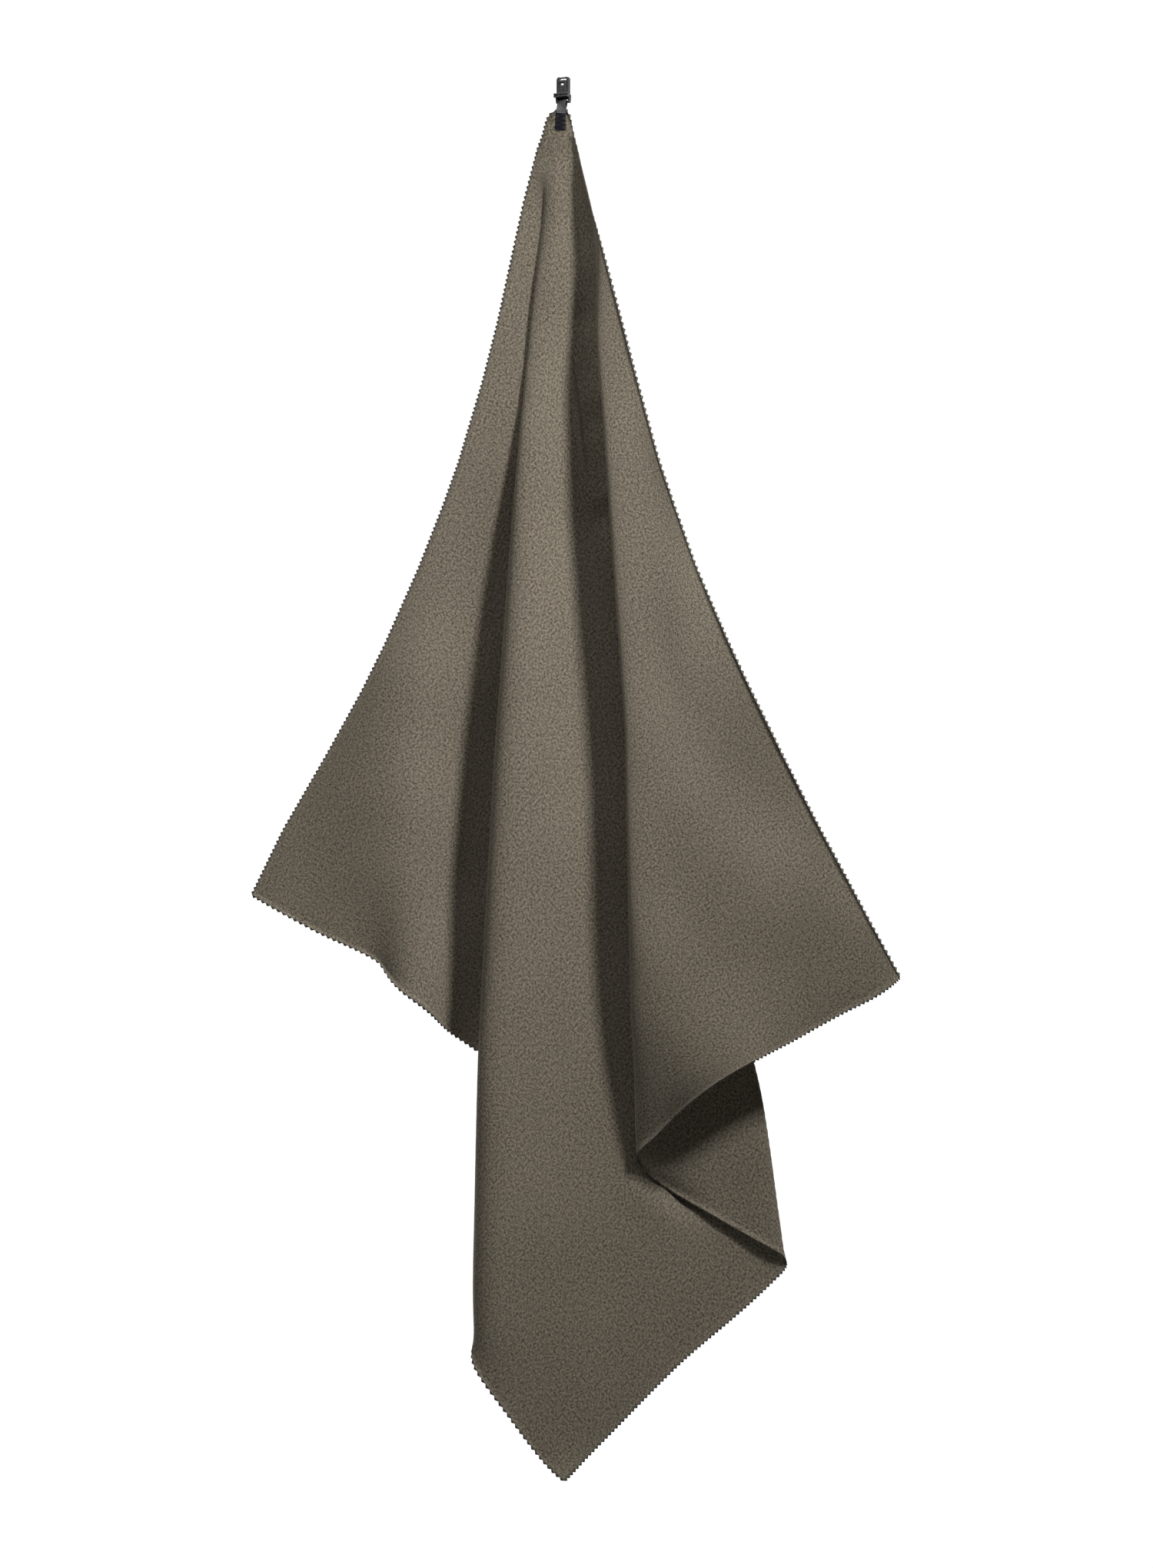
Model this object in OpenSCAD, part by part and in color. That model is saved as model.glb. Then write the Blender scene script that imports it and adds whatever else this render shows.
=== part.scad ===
// Quick dry towel hung by one corner: a pinked microfibre cloth, a sewn webbing
// loop and a small two-piece plastic clip. Origin at the underside of the clip's
// top bar, where the towel hangs. +Z up, the towel's front faces -Y.

/* [Towel] */
// Thickness of the cloth
cloth_t = 0.8; // [0.6:0.1:1.2]
// How far below the hanging point the sewn corner lies
corner_drop = 31; // [30:0.5:33]
// Scale of the folds' depth
fold_depth = 1.0; // [0.8:0.05:1.2]
// How far the lower border leans to the back
border_lean = -36.7; // [-45:0.1:10]

/* [Webbing loop] */
// Width of the webbing tape
tape_w = 10; // [9.6:0.1:10.2]
// Thickness of the webbing tape
tape_t = 0.9; // [0.7:0.1:1]
// How far below the hanging point the tape's ends lie
tape_end_drop = 54.5; // [50:0.5:60]
// How far the sewn part of the tape lies to the towel's left
tape_shift = 2.6; // [0:0.1:3]

/* [Stitching] */
// Number of stitch rows
stitch_rows = 9; // [5:1:11]
// Distance between stitch rows
stitch_pitch = 2; // [1.6:0.1:2.4]
// Radius of the sewing thread
thread_r = 0.22; // [0.15:0.01:0.3]

/* [Clip] */
// Angle that the clip is turned to the towel's left
clip_yaw = -33; // [-35:1:0]
// Width of the clip's upper ring
ring_w = 14.6; // [14.4:0.1:15.2]
// Depth of the clip's rails, front to back
ring_depth = 4.4; // [4:0.1:5]
// Width of each side rail
rail_w = 2.1; // [1.9:0.1:2.4]
// Thickness of the top bar
top_bar_t = 1.5; // [1.3:0.1:2]
// Radius of the bar that holds the webbing
web_bar_r = 1.4; // [1.2:0.05:1.5]

/* [Gate] */
// Thickness of the gate's plate
gate_t = 1.5; // [1.2:0.1:1.6]
// Gap between the gate's plate and each rail
gate_gap = 0.4; // [0.3:0.05:0.5]
// Width of the thumb ledge
ledge_w = 18.4; // [17:0.1:19]
// Radius of the gate's trunnions
trunnion_r = 1.0; // [0.8:0.05:1.1]

/* [Hidden] */
$fn = 48;
e = 0.01;

plastic = [0.16, 0.16, 0.16];
tape_colour = [0.12, 0.12, 0.13];
thread_colour = [0.10, 0.10, 0.13];
cloth_colour = [0.38, 0.35, 0.28];

// Heights on the clip, from the hanging point down
slot_top_z = -20.2;
web_bar_z = -25;
hinge_z = -18;
hinge_y = -0.6;
mid_bar_top_z = -16.2;
window_w = ring_w - 2 * rail_w;
slot_w = tape_w + 3.4;
shoulder_w = 17.6;
trunnion_clearance = 0.06;

// ---------------------------------------------------------------- clip frame

// A rectangle in the XZ plane with round corners, from z_low to z_high
module round_box(width, z_low, z_high, corner, depth, y_back) {
    half = width / 2;
    translate([0, y_back, 0]) rotate([90, 0, 0]) linear_extrude(depth) {
        translate([-half + corner, z_low]) square([width - 2 * corner, z_high - z_low]);
        translate([-half, z_low + corner]) square([width, z_high - z_low - 2 * corner]);
        for (sx = [-1, 1], cz = [z_low + corner, z_high - corner])
            translate([sx * (half - corner), cz]) circle(corner);
    }
}

// The two arms that carry the webbing bar, tapering downwards
module webbing_arms() {
    arm = [[slot_w / 2, slot_top_z + 2.6], [shoulder_w / 2 - 0.6, slot_top_z + 2.6],
           [shoulder_w / 2, slot_top_z + 1.6], [shoulder_w / 2, slot_top_z - 0.8],
           [slot_w / 2 + 1.5, web_bar_z - 0.7], [slot_w / 2 + 0.8, web_bar_z - web_bar_r],
           [slot_w / 2, web_bar_z - web_bar_r]];
    for (side = [0, 1]) mirror([side, 0, 0])
        translate([0, ring_depth / 2 - 0.4, 0]) rotate([90, 0, 0])
            linear_extrude(ring_depth - 0.8) polygon(arm);
}

// A thin wall that closes the back of the slot above the webbing bar
module slot_wall() {
    translate([-slot_w / 2 - 0.5, 1.1, slot_top_z - 2.1]) cube([slot_w + 1, 1, 2.5]);
}

// Small lugs on the rails that the closed gate rests against
module gate_stops() {
    lug = [gate_gap + 0.7, 0.8, 1.6];
    for (side = [0, 1]) mirror([side, 0, 0])
        translate([window_w / 2 - lug[0] + e, hinge_y - 0.35, -5.6]) cube(lug);
}

module clip_frame() {
    bottom_z = slot_top_z;
    color(plastic) rotate([0, 0, clip_yaw]) difference() {
        union() {
            difference() {
                round_box(ring_w, bottom_z, top_bar_t, 3, ring_depth, ring_depth / 2);
                round_box(window_w, mid_bar_top_z, 0, 1.4, ring_depth + 2, ring_depth / 2 + 1);
                // The top bar is thin and sits at the back of the rails
                translate([-window_w / 2 + 1, -ring_depth, -0.5])
                    cube([window_w - 2, ring_depth + 0.2, top_bar_t + 1]);
                // Room for the gate's knuckle in front of the middle bar
                translate([-window_w / 2, -ring_depth, bottom_z - 1])
                    cube([window_w, ring_depth + 1.0, 6]);
            }
            webbing_arms();
            slot_wall();
            gate_stops();
            translate([-slot_w / 2 - 0.8, 0, web_bar_z]) rotate([0, 90, 0])
                cylinder(r = web_bar_r, h = slot_w + 1.6);
        }
        // Blind sockets for the gate's trunnions
        for (side = [0, 1]) mirror([side, 0, 0])
            translate([window_w / 2 - e, hinge_y, hinge_z]) rotate([0, 90, 0])
                cylinder(r = trunnion_r + trunnion_clearance, h = 1.3);
    }
}

// ---------------------------------------------------------------- clip gate

module gate_plate() {
    plate_w = window_w - 2 * gate_gap;
    plate_top = -2.0;
    plate_front = hinge_y - 2.1;
    grip_x = [-2.6, 0, 2.6];
    difference() {
        union() {
            round_box(plate_w, hinge_z, plate_top, 1.2, gate_t, plate_front + gate_t);
            // Thicker catch across the plate's top
            round_box(plate_w - 1.6, -4.6, plate_top - 0.2, 0.8, gate_t + 0.5, plate_front + gate_t);
        }
        // Window under the catch
        translate([-1.8, plate_front - 2, -7.4]) cube([3.6, gate_t + 4, 2.1]);
        // Grip grooves
        for (x = grip_x)
            translate([x, plate_front, -13.9]) cylinder(r = 0.45, h = 2.2);
    }
}

module thumb_ledge() {
    ledge_back = hinge_y - 2.7;
    ledge_t = 1.5;
    ridge_r = 0.9;
    round_box(ledge_w, hinge_z - 2.1, hinge_z + 2.3, 0.7, ledge_t, ledge_back);
    for (z = [hinge_z - 1.2, hinge_z + 1.4])
        translate([-ledge_w / 2 + 0.3, ledge_back - ledge_t, z]) rotate([0, 90, 0])
            cylinder(r = ridge_r, h = ledge_w - 0.6);
    // Web that joins the ledge to the knuckle
    translate([-4.6, ledge_back - 0.5, hinge_z - 1.4]) cube([9.2, 3, 2.8]);
}

module clip_gate() {
    knuckle_w = window_w - 2 * gate_gap;
    color(plastic) rotate([0, 0, clip_yaw]) {
        gate_plate();
        thumb_ledge();
        translate([-knuckle_w / 2, hinge_y, hinge_z]) rotate([0, 90, 0])
            cylinder(r = 1.4, h = knuckle_w);
        translate([-window_w / 2 - 1.0, hinge_y, hinge_z]) rotate([0, 90, 0])
            cylinder(r = trunnion_r, h = window_w + 2.0);
    }
}

// ---------------------------------------------------------------- webbing loop

turn_r = web_bar_r + 0.25 + tape_t / 2;
strand_gap = cloth_t / 2 + 0.05 + tape_t / 2;
sewn_top_z = -36;
turn_steps = 14;

// Stations of the tape's middle line: [offset to the front, height, yaw, slope angle,
// offset along the tape's width].
// The slope angle is the tape's outward normal: 0 faces the front, 90 up, 180 the back.
bar_shift = tape_shift * 0.5;
front_run = [
    [strand_gap, -tape_end_drop, 0, 0, -tape_shift], [strand_gap, -48, 0, 0, -tape_shift],
    [strand_gap, -42, 0, 0, -tape_shift], [strand_gap, sewn_top_z, 0, 0, -tape_shift],
    [strand_gap + 0.4, -33.5, clip_yaw * 0.08, -6, -tape_shift * 0.9],
    [strand_gap + 0.95, -30.5, clip_yaw * 0.5, -6, -tape_shift * 0.72],
    [turn_r - 0.05, -27.5, clip_yaw * 0.9, -3, -tape_shift * 0.55]];
turn = [for (i = [0:turn_steps]) let (a = 180 * i / turn_steps)
    [turn_r * cos(a), web_bar_z + turn_r * sin(a), clip_yaw, a, -bar_shift]];
back_run = [for (i = [len(front_run) - 1:-1:0]) let (s = front_run[i])
    [-s[0], s[1], s[2], 180 - s[3], s[4]]];
tape_stations = concat(front_run, turn, back_run);

// The four corners of the tape's section at a station
function tape_section(s) =
    let (across = [cos(s[2]), sin(s[2]), 0],
         front = [sin(s[2]), -cos(s[2]), 0],
         middle = front * s[0] + across * s[4] + [0, 0, s[1]],
         normal = front * cos(s[3]) + [0, 0, sin(s[3])])
    [for (c = [[-1, -1], [1, -1], [1, 1], [-1, 1]])
        middle + across * c[0] * tape_w / 2 + normal * c[1] * tape_t / 2];

module webbing_loop() {
    n = len(tape_stations);
    points = [for (s = tape_stations) each tape_section(s)];
    sides = [for (i = [0:n - 2], k = [0:3])
        let (a = 4 * i + k, b = 4 * i + (k + 1) % 4) each [[a, b + 4, a + 4], [a, b, b + 4]]];
    last = 4 * (n - 1);
    ends = [[0, 2, 1], [0, 3, 2], [last, last + 1, last + 2], [last, last + 2, last + 3]];
    color(tape_colour) polyhedron(points, concat(sides, ends));
}

// ---------------------------------------------------------------- stitching

// Each stitch is one thread: a run on each face and two legs through the layers
module stitch(z) {
    run_y = strand_gap + tape_t / 2 + thread_r * 0.5;
    half = tape_w / 2 - 0.9;
    ends = [-tape_shift - half, -tape_shift + half];
    for (y = [-run_y, run_y])
        translate([ends[0], y, z]) rotate([0, 90, 0]) cylinder(r = thread_r, h = 2 * half, $fn = 16);
    for (x = ends)
        translate([x, run_y, z]) rotate([90, 0, 0]) cylinder(r = thread_r, h = 2 * run_y, $fn = 16);
    for (x = ends, y = [-run_y, run_y])
        translate([x, y, z]) sphere(r = thread_r, $fn = 16);
}

module bartack_threads() {
    color(thread_colour)
        for (i = [0:stitch_rows - 1]) stitch(sewn_top_z - 1 - i * stitch_pitch);
}

// ---------------------------------------------------------------- towel

// The towel's lower border as it hangs, from the left corner round the bottom corner
// to the right corner. Each row: x, y, z of a point on the border, how much the cloth
// above it flares out (positive) or fills out (negative), and its place across the
// sewn corner at the top.
border = [
    [-332, 52, -866, 0.5, -19],
    [-264, 42, -903, 0.42, -16.5],
    [-195, 36, -938, 0.35, -14],
    [-141, 50, -991, 0.1, -11],
    [-76, 62, -1042, -0.2, -8.5],
    [60, 56, -1145, -0.45, -6],
    [-27, 28, -1253, -0.6, -4.5],
    [-95, 3, -1352, -0.9, -3.5],
    [-59, -5, -1406, -0.7, -2],
    [1, -2, -1479, -0.2, -0.5],
    [117, 9, -1365, -0.25, 1],
    [230, 14, -1256, -0.25, 2.5],
    [152, -5, -1202, -0.5, 3.5],
    [77, -24, -1140, -0.9, 4.5],
    [132, -60, -1081, -0.2, 5.5],
    [244, -56, -1008, 0.35, 7],
    [351, -58, -949, 0.55, 8]];
steps_per_span = 4;
columns = (len(border) - 1) * steps_per_span;
row_count = 26;

function clamp_index(i) = max(0, min(len(border) - 1, i));

// Smooth curve through the border's rows
function border_at(i, u) =
    let (p0 = border[clamp_index(i - 1)], p1 = border[i],
         p2 = border[clamp_index(i + 1)], p3 = border[clamp_index(i + 2)])
    0.5 * (2 * p1 + u * (p2 - p0) + u * u * (2 * p0 - 5 * p1 + 4 * p2 - p3)
           + u * u * u * (3 * p1 - p0 - 3 * p2 + p3));

function rise(t, length) = 1 - exp(-t / length);

// The stitching holds the cloth flat down to this share of its length
held = 0.025;

// A point of the cloth's middle surface; t is 0 at the sewn corner and 1 at the border
function cloth_point(b, t) =
    let (out = (1 - b[3]) * t + b[3] * t * t,
         clear = pow(rise(max(0, t - held), 0.05), 2),
         deep = (1 - pow(1 - t, 3)) * clear)
    [b[4] * rise(t, 0.0055) + (b[0] - b[4]) * out,
     b[1] * fold_depth * deep + border_lean * t * clear,
     -corner_drop + (b[2] + corner_drop) * t];

function border_column(k) =
    let (i = min(floor(k / steps_per_span), len(border) - 2))
    border_at(i, k / steps_per_span - i);

// Rows are closer together near the gathered corner
function row_t(j) = 0.0015 + 0.9985 * pow(j / (row_count - 1), 1.6);

module towel_panel() {
    middle = [for (j = [0:row_count - 1]) [for (k = [0:columns])
        cloth_point(border_column(k), row_t(j))]];
    // Each row's sideways normal, in plan
    normals = [for (j = [0:row_count - 1]) [for (k = [0:columns])
        let (d = middle[j][min(k + 1, columns)] - middle[j][max(k - 1, 0)], l = norm([d[0], d[1]]))
        [d[1], -d[0], 0] / l]];
    front = [for (j = [0:row_count - 1], k = [0:columns])
        middle[j][k] + normals[j][k] * cloth_t / 2];
    back = [for (j = [0:row_count - 1], k = [0:columns])
        middle[j][k] - normals[j][k] * cloth_t / 2];
    w = columns + 1;
    n = w * row_count;
    last = row_count - 1;
    face_cells = [for (j = [0:last - 1], k = [0:columns - 1]) j * w + k];
    front_faces = [for (a = face_cells) each [[a, a + w + 1, a + w], [a, a + 1, a + w + 1]]];
    back_faces = [for (f = front_faces) [f[0] + n, f[2] + n, f[1] + n]];
    // Pairs of neighbouring points round the sheet's edge, closed from front to back
    rim = concat([for (k = [0:columns - 1]) [k + 1, k]],
                 [for (k = [0:columns - 1]) [last * w + k, last * w + k + 1]],
                 [for (j = [0:last - 1]) [j * w, (j + 1) * w]],
                 [for (j = [0:last - 1]) [(j + 1) * w + columns, j * w + columns]]);
    rim_faces = [for (r = rim) each [[r[0], r[1], r[1] + n], [r[0], r[1] + n, r[0] + n]]];
    color(cloth_colour) polyhedron(concat(front, back),
        concat(front_faces, back_faces, rim_faces));
}

clip_frame();
clip_gate();
webbing_loop();
bartack_threads();
towel_panel();
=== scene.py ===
"""Quick dry towel hung by one corner from a sewn webbing loop and a small plastic clip.

The cloth is relaxed under gravity from a first guess. Its folds are then moved to their
depths and its edges onto their lines, and it gets two faces, a rim and pinked edges.
Lengths are in metres, apart from the tables and the name that say mm.
"""

import math

import bpy
import numpy as np
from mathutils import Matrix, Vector


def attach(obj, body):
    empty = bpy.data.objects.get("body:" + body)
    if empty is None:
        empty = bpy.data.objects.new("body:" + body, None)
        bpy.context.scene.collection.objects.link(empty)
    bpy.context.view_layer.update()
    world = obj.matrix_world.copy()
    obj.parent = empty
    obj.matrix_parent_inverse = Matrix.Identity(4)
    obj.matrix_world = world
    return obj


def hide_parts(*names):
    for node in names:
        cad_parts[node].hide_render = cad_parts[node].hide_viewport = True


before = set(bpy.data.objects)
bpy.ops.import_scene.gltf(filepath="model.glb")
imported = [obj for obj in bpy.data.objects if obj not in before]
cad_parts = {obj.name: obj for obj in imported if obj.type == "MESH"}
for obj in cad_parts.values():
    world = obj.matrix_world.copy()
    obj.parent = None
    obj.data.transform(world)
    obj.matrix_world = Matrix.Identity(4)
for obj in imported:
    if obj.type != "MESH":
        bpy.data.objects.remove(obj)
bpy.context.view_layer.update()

MM = 0.001
TINY = 1e-9

# ---------------------------------------------------------------- driving dimensions

FLAT_U = 0.90  # the edge from the sewn corner down to the left corner
FLAT_V = 1.00  # the edge from the sewn corner down to the right corner
CLOTH_T = 0.8 * MM
CORNER_Z = -0.031
SEWN_Z = -0.056  # the cloth above this height is held by the stitching
LEAN = -0.0367  # how far the lower border leans to the back
# Shares of the cloth's length: what the stitching holds flat, what it takes the folds to
# open below that, and what it takes the sewn corner to widen
HELD, OPENING, WIDENING = 0.025, 0.05, 0.0055
TOOTH = 2.4 * MM  # depth of the pinking
TEETH_U, TEETH_V = 180, 150

# The lower border as it hangs, from the left corner round the bottom corner to the right
# one: x, y, z in mm, how much the cloth above flares out, its place in mm across the sewn
# corner, and the distance in mm along the flat border.
BORDER = np.array([
    [-332, 38, -866, 0.5, -15.5, 0],
    [-264, 34, -903, 0.42, -13.7, 80],
    [-195, 30, -938, 0.35, -11.8, 160],
    [-141, 42, -991, 0.1, -9.6, 240],
    [-76, 56, -1042, -0.2, -7.6, 340],
    [60, 54, -1145, -0.45, -5.6, 530],
    [-27, 27, -1253, -0.6, -4.5, 690],
    [-95.5, 3, -1352, -0.9, -3.5, 845],
    [-60.5, -5, -1407.5, -0.7, -2, 905],
    [1, -2, -1479, -0.2, -0.5, 1000],
    [116.5, 9, -1365, -0.25, 1, 1170],
    [229.5, 14, -1256, -0.25, 2.5, 1340],
    [152, 10, -1202, -0.5, 3.5, 1440],
    [77, -24, -1140, -0.9, 4, 1550],
    [132, -72, -1081, -0.2, 4.7, 1625],
    [245, -70, -1012, 0.35, 5.3, 1765],
    [351, -72, -949, 0.55, 5.8, 1900]], float)

# Lines that the hanging cloth follows: depth below the hanging point and x, in mm
GUIDES = {
    "left_edge": [(39, -13.5), (52, -19), (72, -26.5), (129, -41), (259, -69), (324, -85.5),
                  (406, -110), (455, -127.5), (520, -153), (601, -189), (650, -213.5),
                  (716, -250.5), (797, -297.5), (866, -331)],
    "right_edge": [(39, 5.5), (52, 8.5), (72, 14), (129, 26.5), (324, 77), (406, 99),
                   (455, 115.5), (520, 138.5), (601, 173), (650, 195.5), (716, 227.5),
                   (797, 268.5), (895, 320.5), (951, 351)],
    "left_ridge": [(60, -12), (179, -26), (404, -49), (715, -73), (1030, -90), (1364, -95)],
    "right_ridge": [(60, 8), (151, 24), (365, 43), (695, 66), (1059, 73), (1131, 74)],
    "rear_ridge": [(1043, 208), (1245, 232)],
}
# The folds' directions on the flat cloth, in degrees from its left edge
HIDDEN_FOLD, LEFT_FOLD, REAR_FOLD, RIGHT_FOLD = 31.0, 43.3, 60.8, 70.7

# How deep the folds lie in mm, back positive: one row for each distance from the sewn
# corner in metres, one column for each direction on the flat cloth
DEPTH_AT = [0, 6, 12, 18, 24, 31, 37, 43.3, 52, 60.8, 65, 70.7, 73, 77, 81, 85.5, 90]
DEPTH = np.array([
    [0.00, 0, 0, 0, 0, 0, 0, 0, 0, 0, 0, 0, 0, 0, 0, 0, 0, 0],
    [0.05, 4, 3, 2, 1, 0.5, 0, -1, -1, 0, 0, 0, -3, -4, -4.5, -5, -6, -7],
    [0.10, 7, 7, 7, 7, 6, 4, 0, -5, -2, 3, 2, -6, -9, -12, -14, -17, -19],
    [0.20, 5, 7, 8, 9, 9, 6, 2, -5, 2, 12, 8, -8, -14, -22, -27, -30, -32],
    [0.30, 7, 9, 12, 16, 16, 12, 8, -6, 4, 18, 10, -12, -20, -31, -36, -37, -38],
    [0.45, 16, 24, 32, 38, 40, 31, 23, -6, 6, 24, 14, -14, -24, -35, -38, -40, -42],
    [0.60, 28, 36, 46, 54, 60, 42, 32, -6, 6, 26, 10, -15, -26, -36, -38, -42, -47],
    [0.75, 46, 40, 50, 60, 62, 42, 31, -7, 8, 27, 8, -14, -27, -36, -40, -45, -51],
    [0.85, 52, 45, 50, 58, 60, 42, 30, -7, 10, 29, 10, -12, -28, -38, -43, -50, -57],
    [0.95, 52, 45, 50, 58, 58, 44, 30, -8, 10, 26, 14, -9, -26, -46, -48, -55, -62],
    [1.05, 52, 45, 50, 58, 58, 44, 26, -8, 10, 20, 15, 5, -20, -60, -54, -56, -62],
    [1.15, 52, 45, 50, 58, 58, 44, 24, -6, 10, 18, 14, 6, -20, -60, -54, -56, -62],
    [1.35, 52, 45, 50, 58, 58, 44, 24, -4, 10, 18, 14, 6, -20, -60, -54, -56, -62]], float)


# ---------------------------------------------------------------- cloth, first guess

def catmull_rom(p0, p1, p2, p3, f):
    """A smooth curve from p1 to p2 that takes its slopes from the points beyond them."""
    square = 2 * p0 - 5 * p1 + 4 * p2 - p3
    cube = 3 * p1 - p0 - 3 * p2 + p3
    return 0.5 * (2 * p1 + f * (p2 - p0) + f ** 2 * square + f ** 3 * cube)


def catmull(rows, at, knots):
    """A smooth curve through rows, read at positions `at` along knots."""
    at = np.clip(at, knots[0], knots[-1])
    last = len(knots) - 1
    i = np.clip(np.searchsorted(knots, at, side="right") - 1, 0, last - 1)
    f = ((at - knots[i]) / (knots[i + 1] - knots[i]))[..., None]
    before, after = rows[np.maximum(i - 1, 0)], rows[np.minimum(i + 2, last)]
    return catmull_rom(before, rows[i], rows[i + 1], after, f)


def through(rows, at, knots):
    """A smooth curve through rows at uneven knots."""
    knots = np.asarray(knots, float)
    slope = np.gradient(rows, knots, axis=0)
    at = np.clip(at, knots[0], knots[-1])
    i = np.clip(np.searchsorted(knots, at, side="right") - 1, 0, len(knots) - 2)
    step = knots[i + 1] - knots[i]
    f = (at - knots[i]) / step
    step, f = (q.reshape(q.shape + (1,) * (rows.ndim - 1)) for q in (step, f))
    start = rows[i] + f * step * slope[i]
    end = rows[i + 1] - (1 - f) * step * slope[i + 1]
    share = f * f * (3 - 2 * f)
    return start + share * (end - start)


def rise(t, length):
    """0 at t = 0, and most of the way to 1 a few lengths on."""
    return 1 - np.exp(-t / length)


def smoothstep(x, low, high):
    t = np.clip((x - low) / (high - low), 0, 1)
    return t * t * (3 - 2 * t)


def clear_of_stitching(t):
    """0 where the stitching holds the cloth flat, 1 well below it."""
    return rise(np.maximum(t - HELD, 0), OPENING) ** 2


def down(u, v):
    """0 at the sewn corner, 1 at the lower border."""
    return np.maximum(u / FLAT_U, v / FLAT_V)


def fan(u, v):
    """First guess of where the flat point (u, v) hangs."""
    t = down(u, v)
    along = along_border(u, v, np.maximum(t, TINY)) / MM
    b = catmull(BORDER[:, :5], along, BORDER[:, 5])
    out = (1 - b[..., 3]) * t + b[..., 3] * t * t
    deep = (1 - (1 - t) ** 3) * clear_of_stitching(t)
    x = b[..., 4] * rise(t, WIDENING) + (b[..., 0] - b[..., 4]) * out
    z = CORNER_Z / MM + (b[..., 2] - CORNER_Z / MM) * t
    return np.stack([x, b[..., 1] * deep, z], -1) * MM


def polar(u, v):
    """Distance from the sewn corner on the flat cloth and direction in degrees."""
    return np.hypot(u, v), np.degrees(np.arctan2(v, np.maximum(u, TINY)))


def along_border(u, v, t):
    """Flat distance along the lower border, below the flat point (u, v)."""
    return np.where(u / FLAT_U >= v / FLAT_V, v / t, FLAT_V + FLAT_U - u / t)


def grid(nu, nv):
    """Flat places of the points of a grid of nu by nv cells."""
    u = np.linspace(0, FLAT_U, nu + 1)[:, None] + np.zeros((1, nv + 1))
    v = np.linspace(0, FLAT_V, nv + 1)[None, :] + np.zeros((nu + 1, 1))
    return u, v


# ---------------------------------------------------------------- cloth, relaxation

STRETCH, SHEAR = 1500.0, 8.0  # newtons per metre
AREA_MASS = 0.2
BIAS_GIVE = 0.17  # how far the knit shears where it hangs on the bias
BENDING = 0.02
# Each step mends this share of how far the cloth misses its lines and limits
LINE_PULL, LIMIT_PULL, BORDER_PULL = 0.02, 0.1, 0.04
EDGE_WEIGHT = 3.0  # the long edges keep to their lines this much more than the folds do
# The cloth hangs inside x = -SPACE_HALF..SPACE_HALF, z = -SPACE_HIGH..0
SPACE_HALF, SPACE_HIGH = 0.45, 1.6
LOADED, AFTER = 0.6, 0.25  # the share of the steps at full weight, and the weight after them


class Cloth:
    """A rectangular sheet of springs, relaxed by position-based steps."""

    def __init__(self, u, v, points):
        self.u, self.v, self.x = u, v, points.copy()
        self.speed = np.zeros_like(points)
        hu, hv = u[1, 0] - u[0, 0], v[0, 1] - v[0, 0]
        self.w = np.full(u.shape, 1 / (AREA_MASS * hu * hv))
        self.springs = []
        n, m = u.shape
        every = slice(None)
        uc, vc = (u[:-1, :-1] + u[1:, 1:]) / 2, (v[:-1, :-1] + v[1:, 1:]) / 2
        bias = np.sin(2 * np.radians(polar(uc, vc)[1])) * (1 - 0.4 * down(uc, vc))
        cross = 2 * hu * hv * BIAS_GIVE * bias
        long, short = np.sqrt(hu ** 2 + hv ** 2 + cross), np.sqrt(hu ** 2 + hv ** 2 - cross)
        # Alternate rows and columns share no point, so each batch is solved at once
        for odd in (0, 1):
            a, b = slice(odd, n - 1, 2), slice(odd + 1, n, 2)
            self.springs += [
                ((a, every), (b, every), hu, STRETCH * hv / hu),
                ((every, slice(odd, m - 1, 2)), (every, slice(odd + 1, m, 2)), hv, STRETCH * hu / hv),
                ((a, slice(0, m - 1)), (b, slice(1, m)), long[odd::2], SHEAR),
                ((a, slice(1, m)), (b, slice(0, m - 1)), short[odd::2], SHEAR)]
        pinned = fan(u, v)
        sewn = pinned[..., 2] > SEWN_Z
        self.x[sewn] = pinned[sewn]
        self.w[sewn] = 0
        self.free = ~sewn

    def pull_springs(self, dt):
        x, w = self.x, self.w
        for a, b, rest, k in self.springs:
            gap = x[b] - x[a]
            length = np.sqrt(np.einsum("ijk,ijk->ij", gap, gap)) + 1e-12
            gap *= ((length - rest) / (w[a] + w[b] + 1 / (k * dt * dt)) / length)[..., None]
            x[a] += gap * w[a][..., None]
            x[b] -= gap * w[b][..., None]

    def resist_bending(self):
        x = self.x
        move = np.zeros_like(x)
        du = x[:-2] - 2 * x[1:-1] + x[2:]
        dv = x[:, :-2] - 2 * x[:, 1:-1] + x[:, 2:]
        move[1:-1] += 2 * du
        move[:-2] -= du
        move[2:] -= du
        move[:, 1:-1] += 2 * dv
        move[:, :-2] -= dv
        move[:, 2:] -= dv
        x += BENDING * move


def layers(u, v):
    """Which of the five layers, back to front, a point is in, and its way to the folds."""
    r, phi = polar(u, v)
    cuts = np.array([-90, HIDDEN_FOLD, LEFT_FOLD, REAR_FOLD, RIGHT_FOLD, 180])
    layer = np.searchsorted(cuts[1:-1], phi)
    ahead = r * np.sin(np.radians(np.clip(cuts[layer + 1] - phi, 0, 90)))
    behind = r * np.sin(np.radians(np.clip(phi - cuts[layer], 0, 90)))
    return layer, ahead, behind


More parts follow.
